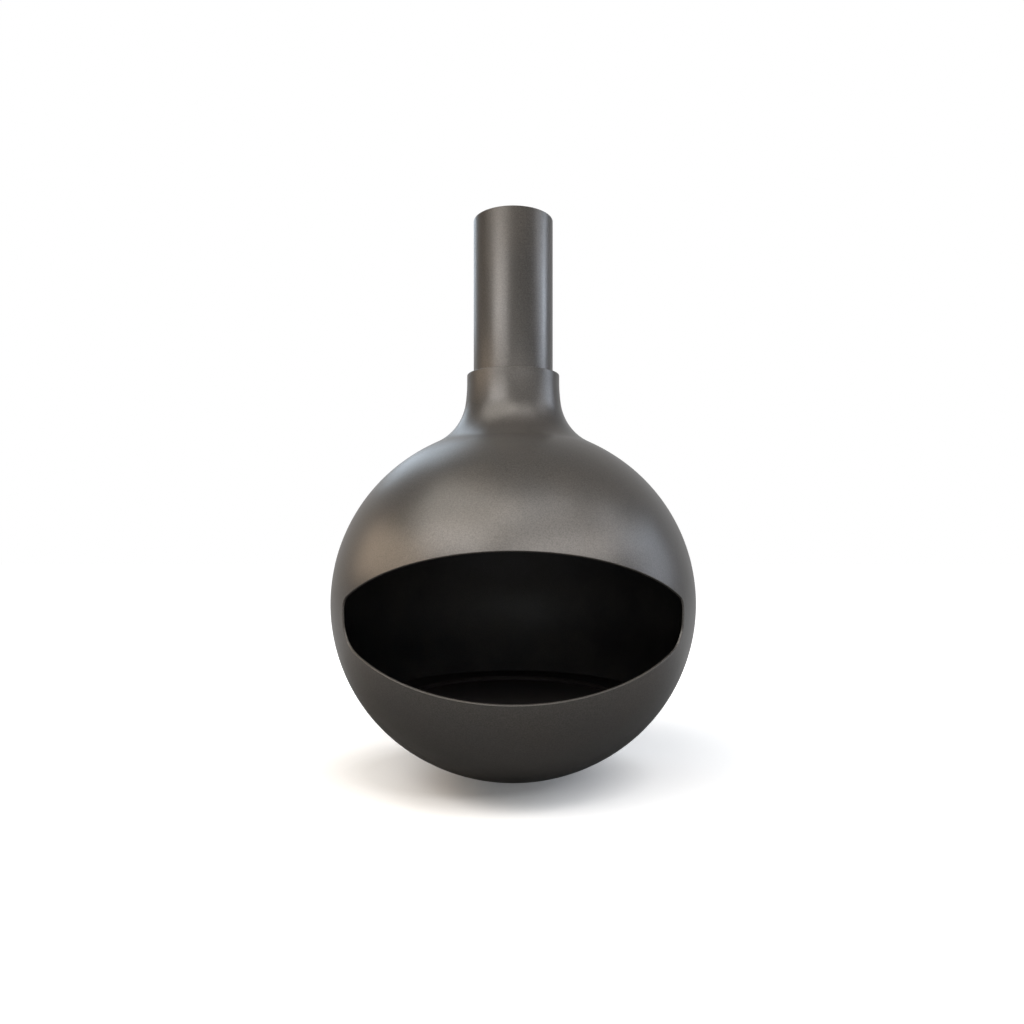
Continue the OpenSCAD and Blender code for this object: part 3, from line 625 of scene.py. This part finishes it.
def mouth_rings(shell, form):
    """Rings of points over the mouth's rounded edge, from the outer skin through the wall to the inner."""
    rays = form.even_rays(EDGE_POINTS)
    edge = form.mouth.edge
    bend = np.linspace(0, math.pi / 2, 5)
    lips = ([(edge * (1 - math.cos(a)), -edge * (1 - math.sin(a)), a, 1) for a in bend]
            + [(form.wall - edge * (1 - math.cos(a)), -edge * (1 - math.sin(a)), a, -1)
               for a in bend[::-1]])
    rings = []
    for depth, level, bent, side in lips:
        flat = form.edge_ring(rays, depth, level)
        spots = form.on_wall(flat[:, 0], flat[:, 1], depth)
        around = np.stack([form.wall_radius(flat[:, 1], depth) - form.side_x, flat[:, 1]], -1)
        around /= np.linalg.norm(around, axis=1, keepdims=True)
        wall_n = side * np.stack([around[:, 0] * np.sin(flat[:, 0]), -around[:, 0] * np.cos(flat[:, 0]),
                                  around[:, 1]], -1)
        mixed = math.cos(bent) * wall_n + math.sin(bent) * form.edge_normals(spots)
        mixed /= np.linalg.norm(mixed, axis=1, keepdims=True)
        rings.append((flat, shell.add_points(spots, mixed)))
    for (_, near), (_, far) in zip(rings, rings[1:]):
        shell.add_faces([(int(near[k - 1]), int(near[k]), int(far[k]), int(far[k - 1]))
                         for k in range(EDGE_POINTS)], False)
    return rings


def globe_skin(form, middle_z):
    """The whole skin of the globe: outside, rim, inside and the rounded edge of the mouth."""
    shell = ShellMesh()
    angles = np.linspace(-math.pi, math.pi, SKIN_COLUMNS + 1)
    points, normals, outer_end, rim_end, inner_start = skin_outline(form)
    heights = points[:, 1]
    grid = np.full((len(points), SKIN_COLUMNS + 1), -1, int)
    sines, cosines = np.sin(angles[:-1]), -np.cos(angles[:-1])
    for i, ((r, z), (nr, nz)) in enumerate(zip(points, normals)):
        if r < TINY:
            grid[i, :] = shell.add_points([(0, 0, z)], [(0, 0, nz)])[0]
        else:
            made = shell.add_points(np.c_[r * sines, r * cosines, np.full(SKIN_COLUMNS, z)],
                                    np.c_[nr * sines, nr * cosines, np.full(SKIN_COLUMNS, nz)])
            grid[i, :-1], grid[i, -1] = made, made[0]
    rings = mouth_rings(shell, form)
    across, upright = rings[0][0].T
    reach = np.abs(across).max() + CLEAR_ANGLE
    lowest, highest = upright.min() - CLEAR_HEIGHT, upright.max() + CLEAR_HEIGHT
    columns = int(np.searchsorted(angles, -reach)) - 1, int(np.searchsorted(angles, reach))
    blocks = []
    for inner, start, end in ((False, 0, outer_end), (True, inner_start, len(points))):
        inside = [i for i in range(start, end) if lowest < heights[i] < highest]
        blocks.append((inside[0], inside[-1]))
        flat, index = rings[-1 if inner else 0]
        patch_round_mouth(shell, form, grid, heights, angles, blocks[-1], columns, flat, index,
                          form.wall if inner else 0, -form.mouth.edge, inner)
    for i in range(len(points) - 1):
        blocked = any(low <= i < high for low, high in blocks)
        faces = []
        for j in range(SKIN_COLUMNS):
            if blocked and columns[0] <= j < columns[1]:
                continue
            face = [grid[i, j], grid[i, j + 1], grid[i + 1, j + 1], grid[i + 1, j]]
            faces.append(tuple(int(v) for k, v in enumerate(face) if v != face[k - 1]))
        shell.add_faces(faces, i >= rim_end)
    shell.drop_unused()
    shell.points = [(x, y, z + middle_z) for x, y, z in shell.points]
    return shell


# ---- small pieces

def outline_piece(points, columns=32):
    """A small turned mesh, for parts that are then copied by a tree."""
    body = bmesh.new()
    turns = [FULL_TURN * k / columns for k in range(columns)]
    rows = [[body.verts.new((r * math.cos(a), r * math.sin(a), z))
             for a in (turns if r > TINY else turns[:1])] for r, z in points]
    for low, high in zip(rows, rows[1:]):
        for k in range(columns):
            corners = [low[k % len(low)], low[(k + 1) % len(low)],
                       high[(k + 1) % len(high)], high[k % len(high)]]
            body.faces.new([v for i, v in enumerate(corners) if v is not corners[i - 1]])
    return body


def hex_bolt_mesh(diameter, shank, thread):
    """A hexagon-headed bolt with its washer, pointing up from its seat at z = 0, with a rolled thread."""
    washer, head, across = 0.2 * diameter, 0.66 * diameter, 1.625 * diameter
    r = diameter / 2 - 0.00005
    count = int((shank - 0.001) / thread)
    crests = []
    for k in range(count):
        z = shank - (count - k) * thread
        crests += [(r, z), (r - 0.35 * thread, z + 0.5 * thread)]
    body = outline_piece([(0, -washer), (diameter * 0.98, -washer), (diameter, -washer * 0.8),
                          (diameter, -washer * 0.2), (diameter * 0.98, 0), (r, 0), *crests,
                          (r, shank - 0.0006), (r - 0.0006, shank), (0, shank)])
    corner = across / 2 / math.cos(math.pi / 6)
    rings = [(corner, -washer), (corner, -washer - head * 0.82), (across * 0.47, -washer - head)]
    made = [[body.verts.new((radius * math.cos(math.pi * k / 3), radius * math.sin(math.pi * k / 3), z))
             for k in range(6)] for radius, z in rings]
    for low, high in zip(made, made[1:]):
        for k in range(6):
            body.faces.new([low[k], low[(k + 1) % 6], high[(k + 1) % 6], high[k]])
    body.faces.new(made[0])
    body.faces.new(made[-1])
    return plain_mesh(body, "hex_bolt")


def plain_mesh(body, name):
    """A mesh of what has been built, with its faces turned outward."""
    bmesh.ops.recalc_face_normals(body, faces=body.faces)
    mesh = bpy.data.meshes.new(name)
    body.to_mesh(mesh)
    body.free()
    return mesh


def ring_of(context, node, base, count, radius, level):
    """Copies of a small piece round the axis, in place of their CAD node."""
    piece = grow(node + "_set", base, ring_tree, finish(context, SLOT_OF[node]), Count=count,
                 Radius=radius, Level=level)
    settle(piece, node)


# ---- operators

class PieceOperator:
    """What the operators share: each can be undone."""
    bl_options = {"REGISTER", "UNDO"}


class FIREPLACE_OT_globe(PieceOperator, bpy.types.Operator):
    """Make the pressed globe with its neck, rim and rounded mouth"""
    bl_idname = "fireplace.globe"
    bl_label = "Globe"

    def execute(self, context):
        scene = context.scene
        form = GlobeForm(scene.fireplace_globe, scene.fireplace_neck)
        skin = globe_skin(form, SHELL_HIGH.z - form.rim)
        mesh = bpy.data.meshes.new("globe_skin")
        mesh.from_pydata(skin.points, [], skin.faces)
        mesh.validate()
        mesh.shade_smooth()
        mesh.materials.append(finish(context, "painted_steel"))
        mesh.materials.append(finish(context, "chamber_black"))
        mesh.polygons.foreach_set("material_index", np.array(skin.inner, dtype=np.int32))
        mesh.normals_split_custom_set_from_vertices(skin.normals)
        piece = bpy.data.objects.new("globe_skin", mesh)
        scene.collection.objects.link(piece)
        settle(piece, "globe_top", "globe_bottom")
        return {"FINISHED"}


class FIREPLACE_OT_flue(PieceOperator, bpy.types.Operator):
    """Make the carrying tube and the smoke liner, and dress the rings between them"""
    bl_idname = "fireplace.flue"
    bl_label = "Flue"

    def execute(self, context):
        flue = context.scene.fireplace_flue
        outer, bore = PIPE_HIGH.x, PIPE_HIGH.x - flue.wall
        turned(context, "flue_pipe", chamfered([
            (bore, PIPE_LOW.z), (outer, PIPE_LOW.z), (outer, PIPE_HIGH.z), (bore, PIPE_HIGH.z)], 0.0005))
        wall, r, socket_r = flue.liner_wall, flue.liner_diameter / 2, LINER_HIGH.x
        flat, taper = 0.0003, 0.008
        low, high, step = LINER_LOW.z, LINER_HIGH.z, LINER_HIGH.z - flue.socket_depth
        turned(context, "flue_liner", [
            (r - wall, low), (r, low), (r, step - taper), (socket_r, step), (socket_r, high - flat),
            (socket_r - flat, high), (socket_r - wall + flat, high), (socket_r - wall, high - flat),
            (socket_r - wall, step), (r - wall, step - taper)])
        dress(context, "coupling_ring", "liner_support", "liner_insulation", "wool_ring", "pipe_end_ring")
        return {"FINISHED"}


class FIREPLACE_OT_hanger(PieceOperator, bpy.types.Operator):
    """Dress the hanger flange and set its bolts"""
    bl_idname = "fireplace.hanger"
    bl_label = "Hanger"

    def execute(self, context):
        count, diameter, thread = 6, 0.008, 0.00125
        seat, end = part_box("hanger_flange")[0].z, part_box("hanger_bolts")[1]
        bolt = hex_bolt_mesh(diameter, end.z - seat, thread)
        ring_of(context, "hanger_bolts", bolt, count, end.x - diameter, seat)
        dress(context, "hanger_flange")
        return {"FINISHED"}


class FIREPLACE_OT_bearing(PieceOperator, bpy.types.Operator):
    """Set the balls and dress their cage and the two races"""
    bl_idname = "fireplace.bearing"
    bl_label = "Bearing"

    def execute(self, context):
        count = 36
        low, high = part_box("bearing_balls")
        radius = (high.z - low.z) / 2
        body = bmesh.new()
        bmesh.ops.create_uvsphere(body, u_segments=20, v_segments=12, radius=radius)
        ball = plain_mesh(body, "ball")
        ring_of(context, "bearing_balls", ball, count, high.x - radius, (low.z + high.z) / 2)
        dress(context, "ball_cage", "lower_race", "upper_race")
        return {"FINISHED"}


class FIREPLACE_OT_swivel(PieceOperator, bpy.types.Operator):
    """Make the guide bush and dress the swivel ring"""
    bl_idname = "fireplace.swivel"
    bl_label = "Swivel"

    def execute(self, context):
        play, wall, collar = 0.0004, 0.0025, 0.0015
        inner, wide = PIPE_HIGH.x + play, BUSH_HIGH.x
        outer, low, high = inner + wall, BUSH_LOW.z, BUSH_HIGH.z
        turned(context, "guide_bush", chamfered([
            (inner, low), (outer, low), (outer, high - collar), (wide, high - collar), (wide, high),
            (inner, high)], 0.0003))
        dress(context, "swivel_ring")
        return {"FINISHED"}


class FIREPLACE_OT_throat(PieceOperator, bpy.types.Operator):
    """Dress the throat, its seat and the rope seal, and set its screws"""
    bl_idname = "fireplace.throat"
    bl_label = "Throat"

    def execute(self, context):
        count, diameter, thread, plate = 6, 0.006, 0.001, 0.002
        seat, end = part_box("throat_seat")[0].z - plate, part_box("throat_screws")[1]
        screw = hex_bolt_mesh(diameter, end.z - seat, thread)
        ring_of(context, "throat_screws", screw, count, end.x - diameter, seat)
        dress(context, "throat_seat", "throat", "seal_rope")
        return {"FINISHED"}


class FIREPLACE_OT_damper(PieceOperator, bpy.types.Operator):
    """Wind the friction spring and dress the damper's plate, spindle, bushes and lever"""
    bl_idname = "fireplace.damper"
    bl_label = "Damper"

    def execute(self, context):
        turns, wire = 5.0, 0.0008
        low, high = SPRING_LOW, SPRING_HIGH
        piece = grow("damper_spring_wound", bpy.data.meshes.new("empty"), coil_tree,
                     finish(context, "spring_steel"), Turns=turns, Radius=(high.y - low.y) / 2 - wire,
                     Wire=wire, Length=high.x - low.x - 2 * wire,
                     Start=(low.x + wire, 0.0, (low.z + high.z) / 2))
        settle(piece, "damper_spring")
        dress(context, "damper_bushes", "damper_plate", "damper_spindle", "damper_screws", "damper_lever",
              "lever_screw", "spring_collar", "collar_pin")
        return {"FINISHED"}


class FIREPLACE_OT_hearth(PieceOperator, bpy.types.Operator):
    """Turn the ledge that carries the pan, and dress the hearth ring, its lugs and its screws"""
    bl_idname = "fireplace.hearth"
    bl_label = "Hearth"

    def execute(self, context):
        low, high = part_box("pan_ledge")
        wall, shelf = 0.003, 0.019
        inner, lip = high.x - wall, high.x - shelf
        turned(context, "pan_ledge", chamfered([
            (lip, low.z), (high.x, low.z), (high.x, high.z), (inner, high.z), (inner, low.z + wall),
            (lip, low.z + wall)], 0.0004))
        dress(context, "hearth_ring", "hearth_lugs")
        dress(context, "hearth_screws", slot="hearth_steel")
        return {"FINISHED"}


class FIREPLACE_OT_fire_pan(PieceOperator, bpy.types.Operator):
    """Turn the lift-out fire pan"""
    bl_idname = "fireplace.fire_pan"
    bl_label = "Fire Pan"

    def execute(self, context):
        wall, corner, flat, step = 0.003, 0.005, 0.0005, 0.001
        outer, low, high = PAN_HIGH.x, PAN_LOW.z, PAN_HIGH.z
        centre, halfway = [outer - corner, low + corner], outer * 0.5
        under = arc(centre, corner, -math.pi / 2, 0, step)[0]
        upper = arc(centre, corner - wall, 0, -math.pi / 2, step)[0]
        turned(context, "fire_pan", [
            (0, low), (halfway, low), *map(tuple, under), (outer, high - flat), (outer - flat, high),
            (outer - wall + flat, high), (outer - wall, high - flat), *map(tuple, upper),
            (halfway, low + wall), (0, low + wall)], closed=False)
        return {"FINISHED"}


class FIREPLACE_OT_refractory(PieceOperator, bpy.types.Operator):
    """Dress the refractory dish under the pan"""
    bl_idname = "fireplace.refractory"
    bl_label = "Refractory Dish"

    def execute(self, context):
        dress(context, "refractory_base")
        return {"FINISHED"}


# ---- the stage

# Each softbox: bearing from the front and height over what it lights in degrees, distance, width and
# height in metres, watts and tint, and for the strips the degrees over which their grid lets light out
SOFTBOXES = {
    "key_softbox": (-37, 32, 2.1, 1.4, 0.55, 16.3, (1.0, 0.97, 0.95)),
    "second_key_softbox": (26, 23, 1.05, 1.05, 0.26, 4.4, (1.0, 0.97, 0.95)),
    "upper_left_softbox": (-45, 54, 4.1, 4.0, 2.3, 100, (1.0, 0.95, 0.87)),
    "left_softbox": (-74, 17, 1.5, 1.4, 0.6, 9, (1.0, 0.80, 0.60)),
    "upper_right_softbox": (23, 56, 5.0, 4.0, 2.0, 80, (1.0, 0.97, 0.94)),
    "right_front_softbox": (76, 36, 5.0, 1.5, 2.2, 34, (0.93, 0.95, 1.0)),
    "right_softbox": (93, 16, 5.0, 2.5, 2.6, 66, (0.76, 0.85, 1.0)),
    "back_softbox": (-146, 40, 2.9, 0.9, 1.6, 11, (0.70, 0.85, 1.0)),
    "front_fill": (0, 9, 2.6, 2.0, 0.3, 8, (1.0, 0.99, 0.97)),
    "low_fill": (0, -9, 2.6, 2.0, 0.3, 8, (1.0, 0.99, 0.97)),
}
FLUE_STRIPS = {
    "left_strip": (-40, 17, 2.2, 0.3, 0.5, 0.09, (1.0, 0.95, 0.91), 30),
    "right_strip": (97, 17, 1.5, 0.2, 0.6, 0.21, (0.80, 0.88, 1.0), 36),
}
LIT_HEIGHT = 0.545    # what the softboxes face, over the globe's lowest point
STRIP_HEIGHT = -0.14  # what the flue's strips face, under its top
FLOOR_HALF = 12.0
CAMERA_SHIFT = (-0.0012, 0.0186)
SENSOR_WIDTH = 36.0


def softbox(scene, name, middle, share, bearing, rise, distance, width, height, watts, tint, spread=180):
    """A rectangular studio light that faces the middle of what it lights."""
    lamp = bpy.data.lights.new(name, "AREA")
    lamp.shape, lamp.size, lamp.size_y = "RECTANGLE", width, height
    lamp.energy, lamp.color, lamp.spread = watts * share, tint, math.radians(spread)
    turn, lift = math.radians(bearing), math.radians(rise)
    out = Vector((math.cos(lift) * math.sin(turn), -math.cos(lift) * math.cos(turn), math.sin(lift)))
    holder = bpy.data.objects.new(name, lamp)
    holder.location = middle + distance * out
    holder.rotation_euler = (-out).to_track_quat("-Z", "Y").to_euler()
    holder.visible_camera = False
    scene.collection.objects.link(holder)


def seen_and_mirrored(tree):
    """Two numbers: 1 for rays from the camera or through glass, and 1 for rays from a reflection."""
    path = tree.nodes.new("ShaderNodeLightPath").outputs
    return maths(tree, "MAXIMUM", path["Is Camera Ray"], path["Is Transmission Ray"]), path["Is Glossy Ray"]


def studio_world(scene):
    """White behind the object, a pale wall in its reflections and a dim room in what falls on it."""
    world = bpy.data.worlds.new("studio")
    world.use_nodes = True
    tree = world.node_tree
    tree.nodes.clear()
    seen, mirrored = seen_and_mirrored(tree)
    way = add(tree, "ShaderNodeTexCoord", out="Generated")
    back = add(tree, "ShaderNodeSeparateXYZ", {0: way}, "Y")
    wall = remap(tree, back, 0.25, 0.8, 0.0, 0.62)
    unseen = add(tree, "ShaderNodeMix", {0: mirrored, 2: 0.05, 3: wall})
    strength = add(tree, "ShaderNodeMix", {0: seen, 2: unseen, 3: 1.0})
    light = add(tree, "ShaderNodeBackground", {"Color": (1, 1, 1, 1), "Strength": strength})
    output = tree.nodes.new("ShaderNodeOutputWorld")
    tree.links.new(light, output.inputs["Surface"])
    scene.world = world


def floor_paper():
    """Pale studio paper that looks white, keeps the shadow and throws little light back up. Its glow is
    weaker in an oval round the globe's foot, which paints part of the shadow there. In reflections it glows
    more further out, which paints a pale reflection along the globe's lower edges.
    """
    material, tree, output = blank_material("floor_paper")
    seen, mirrored = seen_and_mirrored(tree)
    place = add(tree, "ShaderNodeTexCoord", out="Object")
    grain = add(tree, "ShaderNodeTexNoise", {"Vector": place, "Scale": 300.0, "Detail": 2.0}, "Fac")
    tone = remap(tree, grain, 0.0, 1.0, 0.80, 0.82)
    level = remap(tree, seen, 0.0, 1.0, 0.2, 1.0)
    paper = maths(tree, "MULTIPLY", tone, level)
    diffuse = add(tree, "ShaderNodeBsdfDiffuse", {"Color": paper})
    # painted shadow: the glow seen from the camera is weakest in this oval round the globe's foot and grows
    # outward, so the floor there stays darker than further out
    painted_shadow_oval = add(tree, "ShaderNodeVectorMath", {0: place, 1: (1, 1.5, 0), 2: (0.12, -0.15, 0)},
               operation="MULTIPLY_ADD")
    reach = add(tree, "ShaderNodeVectorMath", {0: painted_shadow_oval}, "Value", operation="LENGTH")
    far = remap(tree, reach, 0.7, 2.5, 0.0, 0.6)
    near = maths(tree, "ADD", remap(tree, reach, 0.27, 0.5, 0.1, 0.42), far)
    # painted reflection: seen in reflections, the floor glows more the further it is from the globe, which
    # brightens the globe's lower edges
    sheen = maths(tree, "MULTIPLY", mirrored, remap(tree, reach, 0.5, 1.8, 0.0, 0.55))
    lift = maths(tree, "MULTIPLY_ADD", seen, near, sheen)
    glow = add(tree, "ShaderNodeEmission", {"Color": (1, 1, 1, 1), "Strength": lift})
    both = add(tree, "ShaderNodeAddShader", {0: diffuse, 1: glow})
    tree.links.new(both, output.inputs["Surface"])
    return material


class FIREPLACE_OT_stage(PieceOperator, bpy.types.Operator):
    """Set the floor, the softboxes and the camera"""
    bl_idname = "fireplace.stage"
    bl_label = "Stage"

    def execute(self, context):
        scene = context.scene
        stage = scene.fireplace_stage
        scene.view_settings.view_transform = "Standard"
        mesh = bpy.data.meshes.new("floor")
        level = SHELL_LOW.z - stage.floor_gap
        corners = [(x * FLOOR_HALF, y * FLOOR_HALF, level) for x, y in ((-1, -1), (1, -1), (1, 1), (-1, 1))]
        mesh.from_pydata(corners, [], [(0, 1, 2, 3)])
        mesh.materials.append(floor_paper())
        floor = bpy.data.objects.new("floor", mesh)
        scene.collection.objects.link(floor)
        studio_world(scene)
        for table, height in ((SOFTBOXES, SHELL_LOW.z + LIT_HEIGHT), (FLUE_STRIPS, STRIP_HEIGHT)):
            for name, numbers in table.items():
                softbox(scene, name, Vector((0, 0, height)), stage.light, *numbers)
        camera = bpy.data.cameras.new("camera")
        camera.lens, camera.sensor_width = stage.lens, SENSOR_WIDTH
        camera.shift_x, camera.shift_y = CAMERA_SHIFT
        eye = bpy.data.objects.new("camera", camera)
        eye.location = (0, -stage.camera_back, stage.camera_height)
        eye.rotation_euler = (math.pi / 2, 0, 0)
        scene.collection.objects.link(eye)
        scene.camera = eye
        return {"FINISHED"}


# ---- panel and start

class FIREPLACE_PT_panel(bpy.types.Panel):
    """Lists the fireplace's pieces and sizes"""
    bl_idname = "FIREPLACE_PT_panel"
    bl_label = "Hanging Fireplace"
    bl_space_type = "VIEW_3D"
    bl_region_type = "UI"
    bl_category = "Fireplace"

    def draw(self, context):
        for operator in OPERATORS:
            self.layout.operator(operator.bl_idname)
        for group in GROUPS:
            settings = getattr(context.scene, group)
            box = self.layout.box()
            box.label(text=settings.bl_rna.description)
            for prop in settings.bl_rna.properties:
                if prop.identifier not in ("rna_type", "name"):
                    box.prop(settings, prop.identifier)


OPERATORS = (FIREPLACE_OT_globe, FIREPLACE_OT_flue, FIREPLACE_OT_hanger, FIREPLACE_OT_bearing,
             FIREPLACE_OT_swivel, FIREPLACE_OT_throat, FIREPLACE_OT_damper, FIREPLACE_OT_hearth,
             FIREPLACE_OT_fire_pan, FIREPLACE_OT_refractory, FIREPLACE_OT_stage)
GROUPS = {"fireplace_globe": FIREPLACE_PG_globe, "fireplace_neck": FIREPLACE_PG_neck,
          "fireplace_flue": FIREPLACE_PG_flue, "fireplace_finish": FIREPLACE_PG_finish,
          "fireplace_stage": FIREPLACE_PG_stage}
CLASSES = (*GROUPS.values(), *OPERATORS, FIREPLACE_PT_panel)


def register():
    for item in CLASSES:
        bpy.utils.register_class(item)
    for name, group in GROUPS.items():
        setattr(bpy.types.Scene, name, PointerProperty(type=group))


def unregister():
    for name in GROUPS:
        delattr(bpy.types.Scene, name)
    for item in reversed(CLASSES):
        bpy.utils.unregister_class(item)


def main():
    register()
    bpy.ops.fireplace.globe()
    bpy.ops.fireplace.flue()
    bpy.ops.fireplace.hanger()
    bpy.ops.fireplace.bearing()
    bpy.ops.fireplace.swivel()
    bpy.ops.fireplace.throat()
    bpy.ops.fireplace.damper()
    bpy.ops.fireplace.hearth()
    bpy.ops.fireplace.fire_pan()
    bpy.ops.fireplace.refractory()
    bpy.ops.fireplace.stage()


if __name__ == "__main__":
    main()
